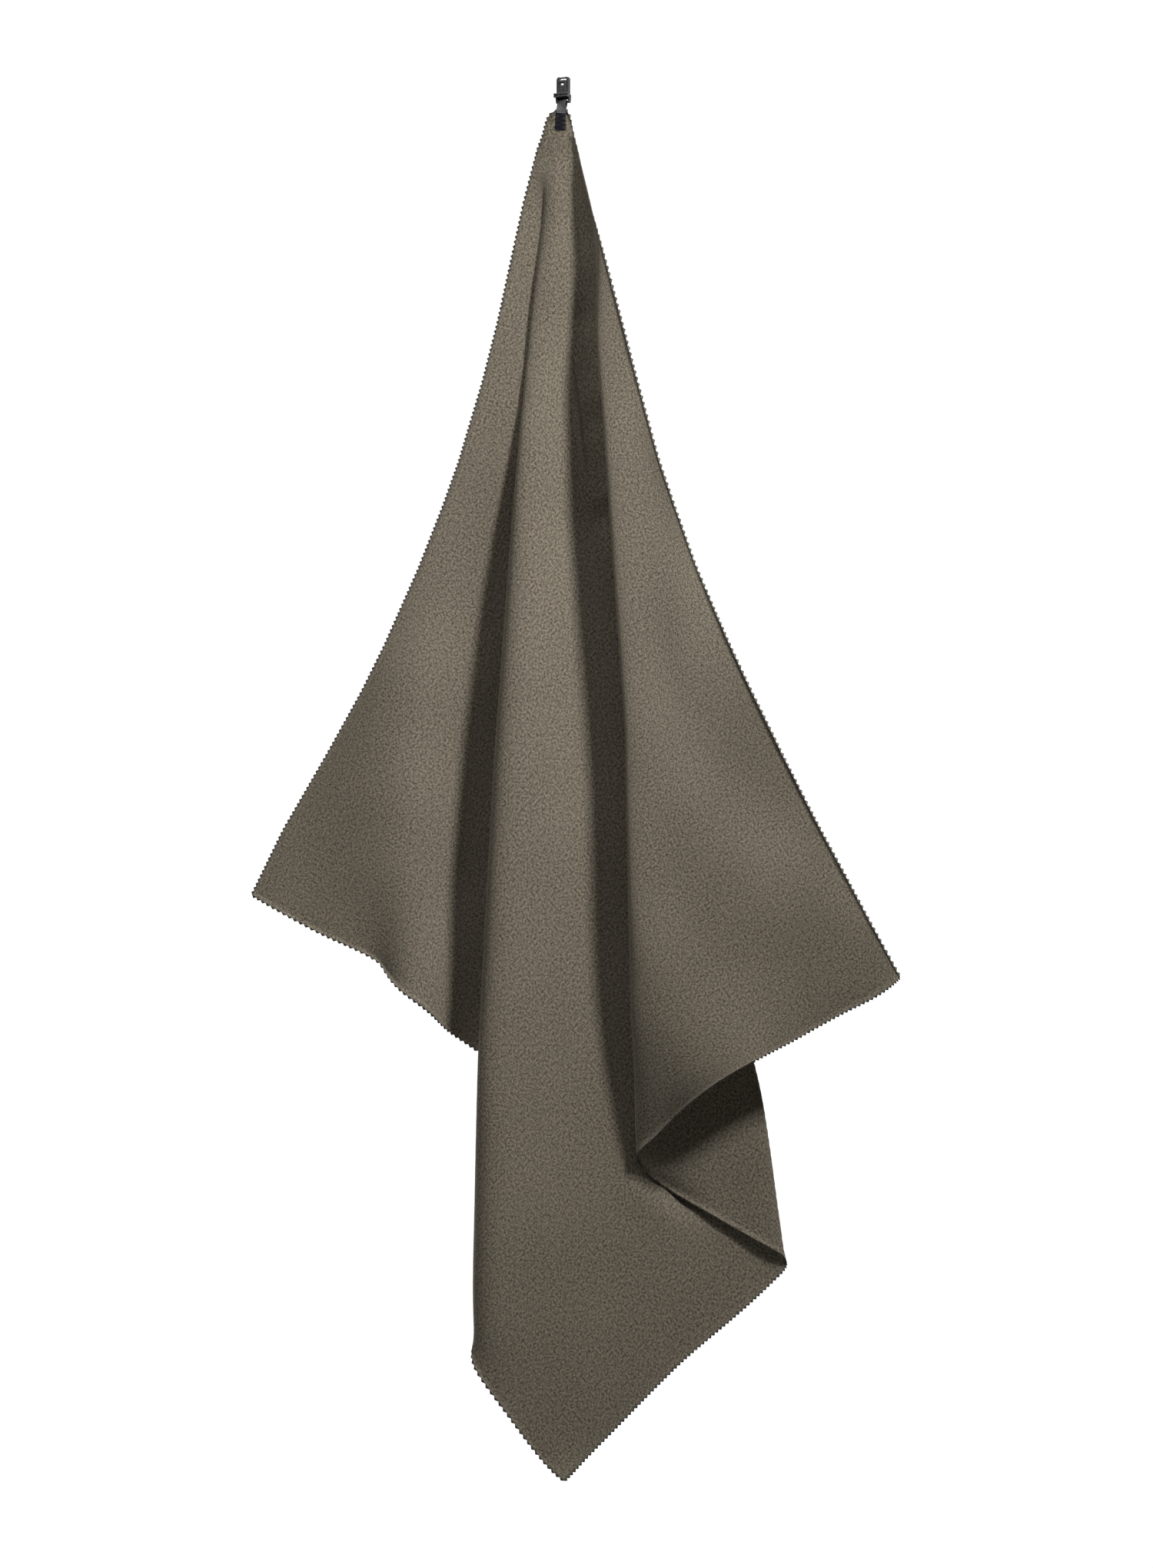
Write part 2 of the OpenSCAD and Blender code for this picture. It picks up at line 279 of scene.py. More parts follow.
def separate(x, layer, ahead, behind, gap=6 * MM, cell=12 * MM):
    """Keeps each layer behind the next one where both hang in the same place."""
    share, longest = 0.25, 4 * MM
    high = int(SPACE_HIGH / cell) + 2
    wide = int(2 * SPACE_HALF / cell) + 2
    column = np.clip(((x[..., 0] + SPACE_HALF) / cell).astype(int), 0, wide - 1)
    key = column * high + np.clip((-x[..., 2] / cell).astype(int), 0, high - 1)
    y = x[..., 1]
    for q in range(4):
        back, front = layer == q, layer == q + 1
        count, total = [], []
        for side in (back, front):
            count.append(np.bincount(key[side], minlength=wide * high))
            total.append(np.bincount(key[side], y[side], minlength=wide * high))
        both = (count[0] > 0) & (count[1] > 0)
        mean = [t / np.maximum(c, 1) for t, c in zip(total, count)]
        for side, way, other, sign in ((back, ahead, mean[1], 1), (front, behind, mean[0], -1)):
            k = key[side]
            want = np.minimum(gap, 0.5 * way[side])
            miss = np.where(both[k], want - sign * (y[side] - other[k]), 0)
            y[side] += sign * share * np.clip(miss, 0, longest)


def make_guides(u, v):
    """Returns a function that eases the edges and folds towards their lines."""
    r, phi = polar(u, v)
    hu = u[1, 0] - u[0, 0]
    layer = layers(u, v)[0]
    low = down(u, v) > 0.05
    unsewn = down(u, v) > 0.02
    lines = {name: np.array(rows, float) * MM for name, rows in GUIDES.items()}
    on_line = {"left_edge": EDGE_WEIGHT * ((v < TINY) & (u > 0.03)),
               "right_edge": EDGE_WEIGHT * ((u < TINY) & (v > 0.03))}
    ease = BORDER_PULL * (down(u, v) > 1 - TINY)
    for corner in ((-1, 0), (0, -1), (-1, -1)):
        ease[corner] = BORDER_PULL
    ease = ease[..., None] * np.array([1, 0, 1])
    folds = [("left_ridge", LEFT_FOLD), ("right_ridge", RIGHT_FOLD), ("rear_ridge", REAR_FOLD)]
    for name, fold in folds:
        off = r * np.sin(np.radians(phi - fold))
        on_line[name] = np.clip(1 - np.abs(off) / (0.8 * hu), 0, 1) * low
    beyond = [("left_ridge", (layer == 1) | (layer == 2), 1),
              ("right_ridge", (layer == 3) | (layer == 4), 1),
              ("rear_ridge", (layer == 2) | (layer == 3), -1)]

    def line_x(name, z):
        rows = lines[name]
        return np.interp(-z, rows[:, 0], rows[:, 1])

    def apply(x, home):
        for name, weight in on_line.items():
            s = (weight > 0) & (x[..., 2] < -lines[name][0, 0])
            x[s, 0] += LINE_PULL * weight[s] * (line_x(name, x[s, 2]) - x[s, 0])
        for name, side, sign in beyond:
            s = side & low & (x[..., 2] < -lines[name][0, 0])
            miss = sign * (line_x(name, x[s, 2]) - x[s, 0])
            x[s, 0] += sign * LIMIT_PULL * np.clip(miss, 0, None)
        # Above the wings' corners no fold shows outside the two long edges
        above_corners = x[..., 2] > lines["left_edge"][-1, 0] * -0.95
        s = above_corners & unsewn
        x[s, 0] += LIMIT_PULL * np.clip(line_x("left_edge", x[s, 2]) - x[s, 0], 0, None)
        x[s, 0] -= LIMIT_PULL * np.clip(x[s, 0] - line_x("right_edge", x[s, 2]), 0, None)
        x += ease * (home - x)
    return apply


def relax(cloth, steps, depth_pull, dt=0.001, drag=5.0, gravity=1.5):
    """Lets the cloth fall into its folds, then takes most of the load off its soft springs."""
    home = fan(cloth.u, cloth.v)
    guide = make_guides(cloth.u, cloth.v)
    layer, ahead, behind = layers(cloth.u, cloth.v)
    x, speed = cloth.x, cloth.speed
    for step in range(steps):
        speed[..., 2] -= gravity * dt * (1 if step < LOADED * steps else AFTER)
        speed *= 1 - drag * dt
        old = x.copy()
        x += speed * dt
        cloth.pull_springs(dt)
        cloth.resist_bending()
        cloth.resist_bending()
        guide(x, home)
        x[..., 1] += depth_pull * (home[..., 1] - x[..., 1])
        if step % 5 == 0:
            separate(x, layer, ahead, behind)
        x[~cloth.free] = old[~cloth.free]
        speed[:] = (x - old) / dt


def resample(points, u_at, v_at):
    """Smoothly reads a grid of points at other positions along its two directions."""
    def one_way(a, at, axis):
        a = np.moveaxis(a, axis, 0)
        last = len(a) - 1
        t = np.clip(at, 0, last)
        i = np.clip(t.astype(int), 0, last - 1)
        f = (t - i).reshape((-1,) + (1,) * (a.ndim - 1))
        a = np.concatenate([2 * a[:1] - a[1:2], a, 2 * a[-1:] - a[-2:-1]])
        return np.moveaxis(catmull_rom(a[i], a[i + 1], a[i + 2], a[i + 3], f), 0, axis)
    return one_way(one_way(points, u_at, 0), v_at, 1)


COARSE, FINE = (45, 50), (90, 100)


def drape():
    """The hung cloth's middle surface on the fine grid."""
    u, v = grid(*COARSE)
    cloth = Cloth(u, v, fan(u, v))
    relax(cloth, 1500, depth_pull=0.0005)
    start = resample(cloth.x, np.linspace(0, COARSE[0], FINE[0] + 1),
                     np.linspace(0, COARSE[1], FINE[1] + 1))
    u, v = grid(*FINE)
    cloth = Cloth(u, v, start)
    relax(cloth, 1800, depth_pull=0.001)
    set_depths(cloth.x, u, v)
    meet_edges(cloth.x, u, v)
    shape_left_wing(cloth.x, u, v)
    settle(cloth)
    return cloth.x


# ---------------------------------------------------------------- meshes

def new_object(name, verts, faces, material):
    mesh = bpy.data.meshes.new(name)
    mesh.from_pydata(np.asarray(verts).tolist(), [], faces)
    mesh.validate()
    mesh.polygons.foreach_set("use_smooth", [True] * len(mesh.polygons))
    mesh.materials.append(material)
    obj = bpy.data.objects.new(name, mesh)
    bpy.context.scene.collection.objects.link(obj)
    return obj


def set_uv(obj, flat):
    """Gives each corner of the mesh its vertex's place on the flat material."""
    layer = obj.data.uv_layers.new(name="flat")
    index = np.empty(len(obj.data.loops), int)
    obj.data.loops.foreach_get("vertex_index", index)
    layer.data.foreach_set("uv", flat[index].astype(np.float32).ravel())


# ---------------------------------------------------------------- cloth, shaping

# The shaping works by direction on the flat cloth, phi in degrees from its left edge,
# and by distance from the sewn corner, r
PER_DEGREE = 4  # directions that the depths are worked out for
CALM = 0.7  # how much of the small shapes the wings and the pocket lose
CREST = 24 * MM
STEP_DOWN, STEP_OUT = 4 * MM, 2 * MM
REAR_BULGE = 7 * MM
SETTLING_STEPS, LAYER_GAP = 24, 4 * MM


def set_depths(x, u, v):
    """Moves the folds to their depths and keeps the small shapes between them."""
    r, phi = polar(u, v)
    far = DEPTH[:, 0]
    way = np.radians(DEPTH_AT)
    to_u, to_v = np.cos(way), np.sin(way)
    reach = np.minimum(FLAT_U / np.maximum(to_u, 1e-6), FLAT_V / np.maximum(to_v, 1e-6))
    at = np.minimum(far[:, None], reach[None])
    # At each place in the table: the depth wanted there, and the depth that the cloth has
    tables = np.zeros(at.shape + (2,))
    tables[..., 0] = DEPTH[:, 1:] * MM
    for row, column in np.ndindex(at.shape):
        cell = at[row, column] * np.array([to_u[column] / FLAT_U * FINE[0],
                                           to_v[column] / FLAT_V * FINE[1]])
        tables[row, column, 1] = resample(x[..., 1:2], cell[:1], cell[1:])[0, 0, 0]
    by_distance = through(tables, r.ravel(), far)
    fine = through(np.moveaxis(by_distance, 1, 0), np.linspace(0, 90, 90 * PER_DEGREE + 1), DEPTH_AT)
    low = np.minimum((phi.ravel() * PER_DEGREE).astype(int), 90 * PER_DEGREE - 1)
    f = (phi.ravel() * PER_DEGREE - low)[:, None]
    point = np.arange(r.size)
    goal, now = ((1 - f) * fine[low, point] + f * fine[low + 1, point]).T.reshape((2,) + r.shape)
    wings = 1 - smoothstep(phi, 6, 14) * (1 - smoothstep(phi, 72, 76))
    pocket = smoothstep(phi, 53, 58) * smoothstep(r, 0.85, 0.95)
    x[..., 1] = goal + (x[..., 1] - now) * (1 - CALM * np.maximum(wings, pocket))


def shape_left_wing(x, u, v):
    """A soft crest down the left wing, which ends in a small step in its lower edge."""
    r, phi = polar(u, v)
    line = 6 + 18 * (r - 0.6)
    crest = smoothstep(phi, line - 9, line) * (1 - smoothstep(phi, line, line + 4.5))
    x[..., 1] -= CREST * crest * smoothstep(r, 0.4, 0.75) * (1 - 0.4 * smoothstep(r, 0.8, 0.92))
    step = smoothstep(phi, 10.2, 11) * (1 - smoothstep(phi, 11.5, 15)) * smoothstep(r, 0.78, 0.92)
    x[..., 2] -= STEP_DOWN * step
    x[..., 0] -= STEP_OUT * step


def meet_edges(x, u, v):
    """Brings the four edges onto their lines and eases the cloth beside them along."""
    t = down(u, v)
    r, phi = polar(u, v)
    along = along_border(u, v, np.maximum(t, TINY))
    border = t > 1 - TINY
    order = np.argsort(along[border])
    knots = BORDER[:, 5] * MM
    for axis in (0, 2):
        now = np.interp(knots, along[border][order], x[..., axis][border][order])
        miss = through(BORDER[:, axis] * MM - now, along.ravel(), knots).reshape(u.shape)
        x[..., axis] += smoothstep(t, 0.88, 1) * miss
    sides = [("left_edge", x[:, 0], FLAT_U, 1 - smoothstep(phi, 0, 6)),
             ("right_edge", x[0], FLAT_V, smoothstep(phi, 84, 90))]
    for name, edge, reach, near in sides:
        rows = np.array(GUIDES[name], float) * MM
        line = np.interp(-edge[:, 2], rows[:, 0], rows[:, 1])
        miss = np.where(edge[:, 2] < -rows[0, 0], line - edge[:, 0], 0)
        x[..., 0] += near * np.interp(r, np.linspace(0, reach, len(edge)), miss)
    x[..., 0] += REAR_BULGE * np.exp(-((phi - 62.5) / 4) ** 2) * smoothstep(r, 0.85, 1.0)


def settle(cloth):
    """Clears the layers from each other and smooths what the shaping left uneven."""
    layer, ahead, behind = layers(cloth.u, cloth.v)
    held = cloth.x.copy()
    inner = cloth.free & (down(cloth.u, cloth.v) < 1 - TINY) & (cloth.u > 0) & (cloth.v > 0)
    for _ in range(SETTLING_STEPS):
        separate(cloth.x, layer, ahead, behind, gap=LAYER_GAP)
        cloth.resist_bending()
        cloth.x[~inner] = held[~inner]


# ---------------------------------------------------------------- cloth, mesh

def cloth_surface(points, u, v):
    """The cloth's middle surface at every pair of u and v, with the lean added."""
    nu, nv = FINE
    sim = resample(points, u[:, 0] / FLAT_U * nu, v[0] / FLAT_V * nv)
    away = smoothstep(np.hypot(u, v), 0.02, 0.05)[..., None]
    x = sim * away + fan(u, v) * (1 - away)
    t = down(u, v)
    x[..., 1] += LEAN * t * clear_of_stitching(t)
    return x


def surface_normals(x):
    """Unit normals of a grid of points, towards the towel's front."""
    n = np.cross(np.gradient(x, axis=0), np.gradient(x, axis=1))
    return n / (np.linalg.norm(n, axis=-1, keepdims=True) + 1e-12)


def build_towel(points, material):
    """Two faces and a rim, with one pinked tooth on each border cell."""
    nu, nv = TEETH_U, TEETH_V
    u, v = grid(nu, nv)
    middle = cloth_surface(points, u, v)
    normal = surface_normals(middle)
    # The border's own flat place is one tooth inside the cloth's flat size
    flat = TOOTH + np.stack([u * (1 - 2 * TOOTH / FLAT_U), v * (1 - 2 * TOOTH / FLAT_V)], -1)
    index = np.arange((nu + 1) * (nv + 1)).reshape(nu + 1, nv + 1)
    a, b, c, d = index[:-1, :-1], index[1:, :-1], index[1:, 1:], index[:-1, 1:]
    faces = np.stack([a, b, c, d], -1).reshape(-1, 4).tolist()
    middle, normal, flat = middle.reshape(-1, 3), normal.reshape(-1, 3), flat.reshape(-1, 2)
    parts = [(middle, normal, flat)]
    count = len(middle)
    rim = []
    # Each side in turn: its border points, and the points two cells inside them
    sides = [(index[::-1, 0], index[::-1, 2]), (index[0], index[2]),
             (index[:, -1], index[:, -3]), (index[-1, ::-1], index[-3, ::-1])]
    for border, inner in sides:
        out = middle[border] - middle[inner]
        out /= np.linalg.norm(out, axis=1, keepdims=True)
        out_flat = flat[border[0]] - flat[inner[0]]
        out_flat /= np.linalg.norm(out_flat)
        between = [(q[border[1:]] + q[border[:-1]]) / 2 for q in (middle, normal, flat)]
        tips = between[0] + TOOTH * (out[1:] + out[:-1]) / 2
        parts.append((tips, between[1], between[2] + TOOTH * out_flat))
        for k in range(len(tips)):
            p, q = int(border[k]), int(border[k + 1])
            faces.append([p, count + k, q])
            rim += [p, count + k]
        count += len(tips)
    verts, normals, flat = (np.concatenate(part) for part in zip(*parts))
    normals /= np.linalg.norm(normals, axis=1, keepdims=True)
    half = CLOTH_T / 2
    front, back = verts + normals * half, verts - normals * half
    back_faces = [[i + count for i in face[::-1]] for face in faces]
    rim_faces = [[p, p + count, q + count, q] for p, q in zip(rim, rim[1:] + rim[:1])]
    towel = new_object("towel_cloth", np.concatenate([front, back]),
                       faces + back_faces + rim_faces, material)
    set_uv(towel, np.concatenate([flat, flat]))
    return towel


# ---------------------------------------------------------------- materials

class Nodes:
    """Short calls for building one material's node tree."""

    def __init__(self, name):
        self.material = bpy.data.materials.new(name)
        self.material.use_nodes = True
        self.tree = self.material.node_tree
        self.shader = self.tree.nodes["Principled BSDF"]

    def add(self, kind, inputs=(), **settings):
        node = self.tree.nodes.new("ShaderNode" + kind)
        for key, value in settings.items():
            setattr(node, key, value)
        for key, value in dict(inputs).items():
            socket = node.inputs[key]
            if isinstance(value, bpy.types.NodeSocket):
                self.tree.links.new(value, socket)
            else:
                socket.default_value = value
        return node

    def math(self, operation, a, b):
        return self.add("Math", {0: a, 1: b}, operation=operation).outputs[0]

    def noise(self, place, scale, detail=2.0, roughness=0.5, dimensions="2D"):
        node = self.add("TexNoise", {"Vector": place, "Scale": scale, "Detail": detail,
                                     "Roughness": roughness}, noise_dimensions=dimensions)
        return node.outputs[0]

    def spread(self, value, low, high, to_low=0.0, to_high=1.0):
        node = self.add("MapRange", {"Value": value, "From Min": low, "From Max": high,
                                     "To Min": to_low, "To Max": to_high})
        return node.outputs[0]

    def mix(self, factor, a, b):
        return self.add("Mix", {0: factor, 6: a, 7: b}, data_type="RGBA").outputs[2]

    def stretch(self, place, scale):
        return self.add("Mapping", {"Vector": place, "Scale": scale}).outputs[0]

    def flat(self):
        return self.add("UVMap", uv_map="flat").outputs[0]

    def here(self):
        return self.add("TexCoord").outputs["Object"]

    def bump(self, height, distance, strength=1.0):
        node = self.add("Bump", {"Height": height, "Distance": distance, "Strength": strength})
        self.set("Normal", node.outputs[0])

    def set(self, socket, value):
        if isinstance(value, bpy.types.NodeSocket):
            self.tree.links.new(value, self.shader.inputs[socket])
        else:
            self.shader.inputs[socket].default_value = value


def rgb(r, g, b):
    """An opaque colour."""
    return (r, g, b, 1.0)


def microfibre():
    """Brushed microfibre: a fine pebbled nap, faint drifts of colour and a darker cut edge."""
    n = Nodes("microfibre")
    flat = n.flat()
    pebble = n.noise(flat, 420, detail=3, roughness=0.6)
    speck = n.noise(flat, 1300, detail=2, roughness=0.6)
    drift = n.noise(flat, 9, detail=3)
    warm = n.noise(flat, 60, detail=2)
    nap = n.math("ADD", n.math("MULTIPLY", pebble, 0.6), n.math("MULTIPLY", speck, 0.4))
    tone = n.spread(nap, 0.36, 0.64)
    tone = n.math("ADD", tone, n.spread(drift, 0.3, 0.7, -0.04, 0.04))
    cloth = n.mix(tone, rgb(0.058, 0.049, 0.034), rgb(0.39, 0.333, 0.255))
    tint = n.spread(warm, 0.35, 0.65)
    cloth = n.mix(n.math("MULTIPLY", tint, 0.16), cloth, rgb(0.19, 0.19, 0.135))
    parts = n.add("SeparateXYZ", {0: flat}).outputs
    to_u = n.math("MINIMUM", parts[0], n.math("SUBTRACT", FLAT_U, parts[0]))
    to_v = n.math("MINIMUM", parts[1], n.math("SUBTRACT", FLAT_V, parts[1]))
    inside = n.spread(n.math("MINIMUM", to_u, to_v), 0.0006, 0.0045)
    edge = n.mix(0.45, cloth, rgb(0.05, 0.045, 0.035))
    n.set("Base Color", n.mix(inside, edge, cloth))
    n.set("Roughness", 0.92)
    n.set("Specular IOR Level", 0.2)
    n.set("Sheen Weight", 0.25)
    n.set("Sheen Roughness", 0.45)
    n.set("Sheen Tint", rgb(0.9, 0.87, 0.8))
    n.bump(nap, 0.0006, 0.7)
    return n.material


def moulded_plastic(name, colour):
    """Satin moulded nylon with a fine spark-eroded texture and random lighter and darker patches."""
    n = Nodes(name)
    here = n.here()
    grain = n.noise(here, 5200, detail=3, dimensions="3D")
    cloud = n.noise(here, 260, detail=3, dimensions="3D")
    dark = rgb(*(c * 0.75 for c in colour))
    light = rgb(*(c * 1.45 for c in colour))
    n.set("Base Color", n.mix(n.spread(cloud, 0.35, 0.65), dark, light))
    n.set("Roughness", n.spread(grain, 0.3, 0.7, 0.36, 0.56))
    n.set("Specular IOR Level", 0.5)
    n.bump(grain, 0.00004, 0.5)
    return n.material


def webbing_weave():
    """Dark woven tape: the ribs are in the mesh, the filaments in the bump."""
    n = Nodes("webbing_weave")
    flat = n.flat()
    fibre = n.noise(n.stretch(flat, (1, 0.16, 1)), 9000, detail=2)
    cloud = n.noise(flat, 500, detail=2)
    tone = n.math("ADD", n.math("MULTIPLY", fibre, 0.65), n.math("MULTIPLY", cloud, 0.35))
    dark, light = rgb(0.055, 0.055, 0.059), rgb(0.21, 0.21, 0.216)
    n.set("Base Color", n.mix(n.spread(tone, 0.35, 0.65), dark, light))
    n.set("Roughness", 0.62)
    n.set("Sheen Weight", 0.15)
    n.set("Sheen Roughness", 0.4)
    n.bump(fibre, 0.00005, 0.6)
    return n.material


def sewing_thread():
    """Near-black twisted thread with fine lighter fibres."""
    n = Nodes("sewing_thread")
    here = n.here()
    fibre = n.noise(here, 6000, detail=3, dimensions="3D")
    dark, light = rgb(0.004, 0.004, 0.009), rgb(0.024, 0.024, 0.042)
    n.set("Base Color", n.mix(n.spread(fibre, 0.35, 0.65), dark, light))
    n.set("Roughness", 0.6)
    n.set("Specular IOR Level", 0.3)
    n.bump(fibre, 0.00003, 0.5)
    return n.material


# ---------------------------------------------------------------- webbing and stitching

TAPE_W, TAPE_T = 10 * MM, 0.9 * MM
WEB_BAR_R, WEB_BAR_Z = 1.4 * MM, -25 * MM
CLIP_YAW = -33.0
TAPE_SHIFT = 2.6 * MM  # how far the sewn part of the tape lies to the left
TURN_R = WEB_BAR_R + 0.25 * MM + TAPE_T / 2
STRAND_GAP = CLOTH_T / 2 + 0.05 * MM + TAPE_T / 2
SEWN_TOP = -36 * MM
TAPE_END = -54.5 * MM
YARN = 0.8 * MM
RIB_DEPTH = 0.1 * MM
TAPE_COLUMNS = 49


def tape_stations():
    """The tape's middle line: front offset, height, yaw, slope of its outer face, side offset."""
    gap, shift, yaw = STRAND_GAP, TAPE_SHIFT, CLIP_YAW
    front = [(gap, TAPE_END, 0, 0, -shift), (gap, -48 * MM, 0, 0, -shift),
             (gap, -42 * MM, 0, 0, -shift), (gap, SEWN_TOP, 0, 0, -shift),
             (gap + 0.4 * MM, -33.5 * MM, yaw * 0.08, -6, -shift * 0.9),
             (gap + 0.95 * MM, -30.5 * MM, yaw * 0.5, -6, -shift * 0.72),
             (TURN_R - 0.05 * MM, -27.5 * MM, yaw * 0.9, -3, -shift * 0.55)]
    turn = [(TURN_R * math.cos(a), WEB_BAR_Z + TURN_R * math.sin(a), yaw, math.degrees(a), -shift * 0.5)
            for a in np.linspace(0, math.pi, 15)]
    back = [(-s[0], s[1], s[2], 180 - s[3], s[4]) for s in front[::-1]]
    return np.array(front + turn + back, float)


def build_webbing(material):
    """A woven tape looped round the clip's bar, its two ends on either side of the cloth."""
    rows = tape_stations()
    step = np.linalg.norm(np.diff(rows[:, :2], axis=0), axis=1)
    knots = np.concatenate([[0], np.cumsum(step)])
    count = int(knots[-1] / (YARN / 4))
    along = np.linspace(0, knots[-1], count)
    s = catmull(rows, along, knots)
    yaw, slope = np.radians(s[:, 2]), np.radians(s[:, 3])
    zero = np.zeros_like(yaw)
    across = np.stack([np.cos(yaw), np.sin(yaw), zero], -1)
    front = np.stack([np.sin(yaw), -np.cos(yaw), zero], -1)
    up = np.array([0, 0, 1.0])
    middle = front * s[:, :1] + across * s[:, 4:] + up * s[:, 1:2]
    normal = front * np.cos(slope)[:, None] + up * np.sin(slope)[:, None]
    x = np.linspace(-1, 1, TAPE_COLUMNS) * TAPE_W / 2
    # The tape's thickness narrows in a round over its two long edges
    past = np.clip(np.abs(x) - (TAPE_W / 2 - TAPE_T / 2), 0, None)
    body = np.sqrt(1 - past ** 2 / (TAPE_T / 2) ** 2 * 0.96)
    ring_verts, ring_flat = [], []
    for side in (1, -1):
        order = slice(None) if side == 1 else slice(None, None, -1)
        cx, cb = x[order], body[order]
        weave = (np.cos(math.pi * cx / YARN)[None] * np.cos(math.pi * along / YARN)[:, None]) ** 2
        height = cb[None] * (TAPE_T / 2 - RIB_DEPTH + RIB_DEPTH * weave)
        flat_place = middle[:, None] + across[:, None] * cx[None, :, None]
        ring_verts.append(flat_place + normal[:, None] * (side * height)[..., None])
        ring_flat.append(np.stack(np.broadcast_arrays(cx[None], along[:, None]), -1))
    verts = np.concatenate(ring_verts, 1)
    flat = np.concatenate(ring_flat, 1)
    ring = verts.shape[1]
    # The cut ends are slightly uneven across the tape
    place = flat[0, :, 0]
    wave = 0.35 * MM * np.sin(place * 2300) + 0.25 * MM * np.sin(place * 5100 + 1)
    uneven = 2 * MM
    for share in (smoothstep(-along, -uneven, 0), smoothstep(along, along[-1] - uneven, along[-1])):
        verts[..., 2] += share[:, None] * np.abs(wave)[None]
    index = np.arange(count * ring).reshape(count, ring)
    nxt = np.roll(index, -1, axis=1)
    faces = np.stack([index[:-1], index[1:], nxt[1:], nxt[:-1]], -1).reshape(-1, 4).tolist()
    half = ring // 2
    for row, flip in ((0, False), (count - 1, True)):
        for k in range(half - 1):
            face = index[row, [k, k + 1, ring - 2 - k, ring - 1 - k]].tolist()
            faces.append(face[::-1] if flip else face)
    obj = new_object("webbing_tape", verts.reshape(-1, 3), faces, material)
    set_uv(obj, flat.reshape(-1, 2))
    return obj


STITCH_TOP, STITCH_PITCH, PASSES = -36.6 * MM, 0.56 * MM, 32
PLY_R, PLY_TURNS = 0.16 * MM, 9
PASS_POINTS = 56
SPLAY = 2.8 * MM  # how far the lowest stitches reach out to the left of the tape


def tube(path, radius, sides=6):
    """Vertices and quads of a tube along a path of points."""
    path = np.asarray(path)
    tangent = np.gradient(path, axis=0)
    tangent /= np.linalg.norm(tangent, axis=1, keepdims=True)
    side = np.cross(tangent, [0, 0, 1.0])
    side /= np.linalg.norm(side, axis=1, keepdims=True) + 1e-9
    up = np.cross(side, tangent)
    a = np.linspace(0, 2 * math.pi, sides, endpoint=False)
    ring = side[:, None] * np.cos(a)[None, :, None] + up[:, None] * np.sin(a)[None, :, None]
    verts = (path[:, None] + radius * ring).reshape(-1, 3)
    index = np.arange(len(path) * sides).reshape(-1, sides)
    nxt = np.roll(index, -1, axis=1)
    faces = np.stack([index[:-1], nxt[:-1], nxt[1:], index[1:]], -1).reshape(-1, 4).tolist()
    return verts, faces + [index[0][::-1].tolist(), index[-1].tolist()]


def build_stitching(material):
    """A dense zigzag of two-ply thread through both ends of the tape and the cloth."""
    right = TAPE_W / 2 - TAPE_SHIFT + 0.2 * MM
    tape_left = -TAPE_W / 2 - TAPE_SHIFT
    over_tape = STRAND_GAP + TAPE_T / 2 + 0.05 * MM + PLY_R
    on_cloth = CLOTH_T / 2 + PLY_R
    verts, faces = [], []
    total = 0
    for face_sign in (-1, 1):
        for k in range(PASSES):
            t = np.linspace(k % 2, 1 - k % 2, PASS_POINTS)
            uneven = 1 + 0.15 * math.sin(k * 1.7)
            left = tape_left - 0.2 * MM - SPLAY * (k / PASSES) ** 1.5 * uneven
            sway = 0.1 * MM * math.sin(k * 2.4 + face_sign)
            x = left + (right - left) * t
            z = STITCH_TOP - (k + np.abs(t - t[0])) * STITCH_PITCH + sway
            beside = 1 - smoothstep(x, tape_left - 0.9 * MM, tape_left + 0.1 * MM)
            lift = over_tape + (on_cloth - over_tape) * beside - 0.5 * MM * np.abs(2 * t - 1) ** 24
            line = np.stack([x, face_sign * lift, z], -1)
            for ply in (0, math.pi):
                turn = t * 2 * math.pi * PLY_TURNS + ply
                path = line + PLY_R * 0.75 * np.stack([0 * t, np.cos(turn), np.sin(turn)], -1)
                v, f = tube(path, PLY_R)
                verts.append(v)
                faces += [[i + total for i in q] for q in f]
                total += len(v)
    return new_object("bartack_stitching", np.concatenate(verts), faces, material)


# ---------------------------------------------------------------- clip

MOULD_RADIUS, WELD_GAP = 0.22 * MM, 0.005 * MM


def finish_plastic(node, material):
    """The clip's CAD shape stays; its edges get a small moulded radius."""
    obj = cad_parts[node]
    obj.data.materials.clear()
    obj.data.materials.append(material)
    weld = obj.modifiers.new("weld", "WELD")
    weld.merge_threshold = WELD_GAP
    bevel = obj.modifiers.new("edges", "BEVEL")
    bevel.width = MOULD_RADIUS
    bevel.segments = 3
    bevel.limit_method = "ANGLE"
    bevel.angle_limit = math.radians(35)
    bevel.harden_normals = True
    for polygon in obj.data.polygons:
        polygon.use_smooth = True


# ---------------------------------------------------------------- stage

VIEW_W = 1.2225
VIEW_H = VIEW_W * 2040 / 1500
VIEW_CENTRE = Vector((0.0139, 0, -0.748))
CAMERA_WAY = 5.0
SENSOR_MM = 36.0
FLOOR_Z, FLOOR_R, FLOOR_SIDES = -1.9, 1.25, 96


def place_camera():
    data = bpy.data.cameras.new("camera")
    data.sensor_width = SENSOR_MM
    data.lens = SENSOR_MM * CAMERA_WAY / VIEW_H
    camera = bpy.data.objects.new("camera", data)
    camera.location = VIEW_CENTRE + Vector((0, -CAMERA_WAY, 0))
    camera.rotation_euler = (math.pi / 2, 0, 0)
    bpy.context.scene.collection.objects.link(camera)
    bpy.context.scene.camera = camera


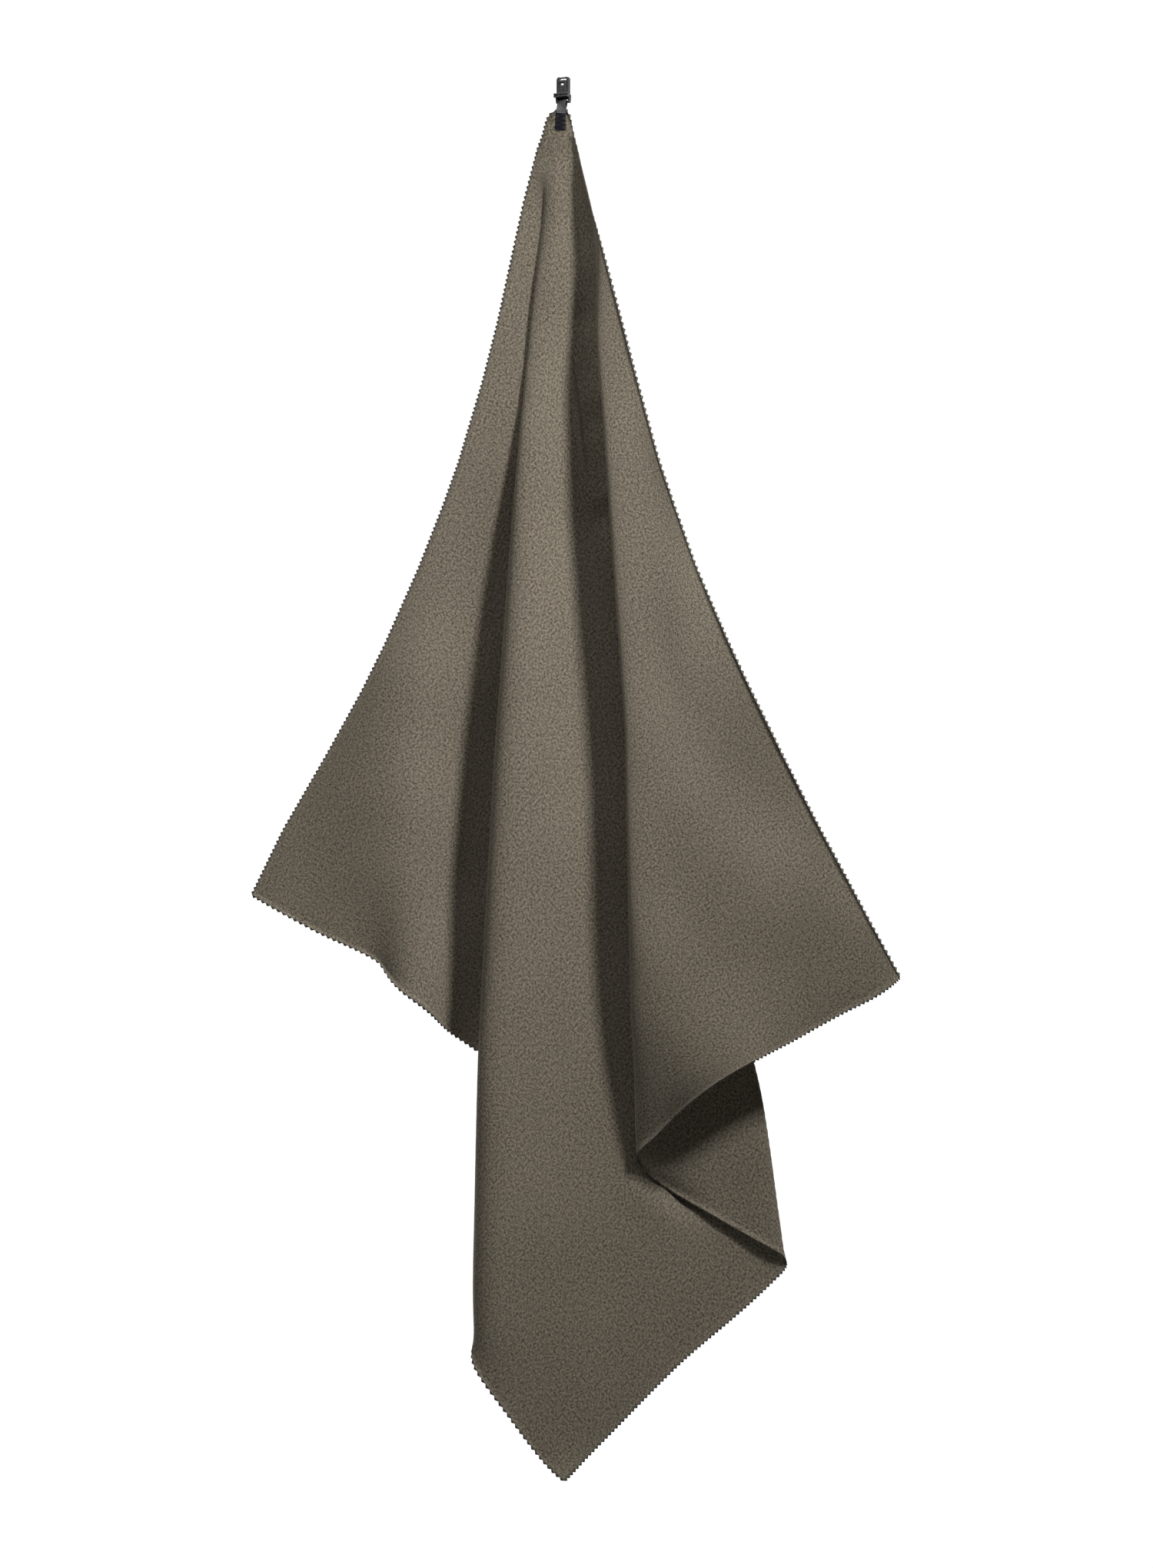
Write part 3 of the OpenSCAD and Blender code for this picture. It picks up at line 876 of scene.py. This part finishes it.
def area_light(name, size, power, azimuth, elevation, way, height=-0.75, spread=180):
    """A square light aimed at the hanging line at `height`. Azimuth 0 is the camera's side,
    90 its right, and `way` is the light's distance."""
    data = bpy.data.lights.new(name, "AREA")
    data.size = size
    data.spread = math.radians(spread)
    data.energy = power
    a, e = math.radians(azimuth), math.radians(elevation)
    toward = Vector((math.sin(a) * math.cos(e), -math.cos(a) * math.cos(e), math.sin(e)))
    light = bpy.data.objects.new(name, data)
    light.location = Vector((0, 0, height)) + toward * way
    light.rotation_euler = toward.to_track_quat("Z", "Y").to_euler()
    bpy.context.scene.collection.objects.link(light)


def floor_paint():
    """Pale paint that stays pale in the dim light below the towel."""
    n = Nodes("floor_paint")
    n.set("Base Color", rgb(0.86, 0.86, 0.85))
    n.set("Roughness", 0.8)
    n.set("Emission Color", rgb(1, 1, 0.99))
    seen = n.add("LightPath").outputs["Is Camera Ray"]
    n.set("Emission Strength", n.math("MULTIPLY", seen, 0.5))
    return n.material


def build_stage():
    """A pale round floor, a bright even background and soft lights on every side."""
    ring = [(FLOOR_R * math.cos(a), FLOOR_R * math.sin(a), FLOOR_Z)
            for a in np.linspace(0, 2 * math.pi, FLOOR_SIDES, endpoint=False)]
    floor = new_object("floor", ring, [list(range(FLOOR_SIDES))], floor_paint())
    world = bpy.data.worlds.new("studio")
    world.use_nodes = True
    tree = world.node_tree
    background = tree.nodes["Background"]
    background.inputs["Color"].default_value = rgb(1, 1, 1)
    # The background is bright to look at, and lights the towel only faintly
    path = tree.nodes.new("ShaderNodeLightPath")
    level = tree.nodes.new("ShaderNodeMapRange")
    level.inputs["To Min"].default_value = 0.04
    level.inputs["To Max"].default_value = 1.05
    tree.links.new(path.outputs["Is Camera Ray"], level.inputs["Value"])
    tree.links.new(level.outputs[0], background.inputs["Strength"])
    bpy.context.scene.world = world
    bpy.context.scene.view_settings.view_transform = "Standard"
    area_light("key", 0.4, 6.3, azimuth=42, elevation=40, way=2.6, height=-0.7, spread=58)
    area_light("fill", 1.0, 1.5, azimuth=-25, elevation=55, way=1.6, height=-0.35, spread=60)
    area_light("back", 1.6, 46, azimuth=195, elevation=30, way=3.0)
    area_light("right side", 1.4, 7, azimuth=122, elevation=12, way=2.4)
    area_light("left side", 1.4, 9, azimuth=-122, elevation=12, way=2.4)


# ---------------------------------------------------------------- the object

place_camera()
build_stage()

towel = build_towel(drape(), microfibre())
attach(towel, "towel")
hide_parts("towel_panel")

tape = build_webbing(webbing_weave())
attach(tape, "towel")
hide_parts("webbing_loop")

stitching = build_stitching(sewing_thread())
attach(stitching, "towel")
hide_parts("bartack_threads")

finish_plastic("clip_frame", moulded_plastic("clip_plastic", (0.085, 0.085, 0.087)))
finish_plastic("clip_gate", moulded_plastic("gate_plastic", (0.11, 0.11, 0.112)))
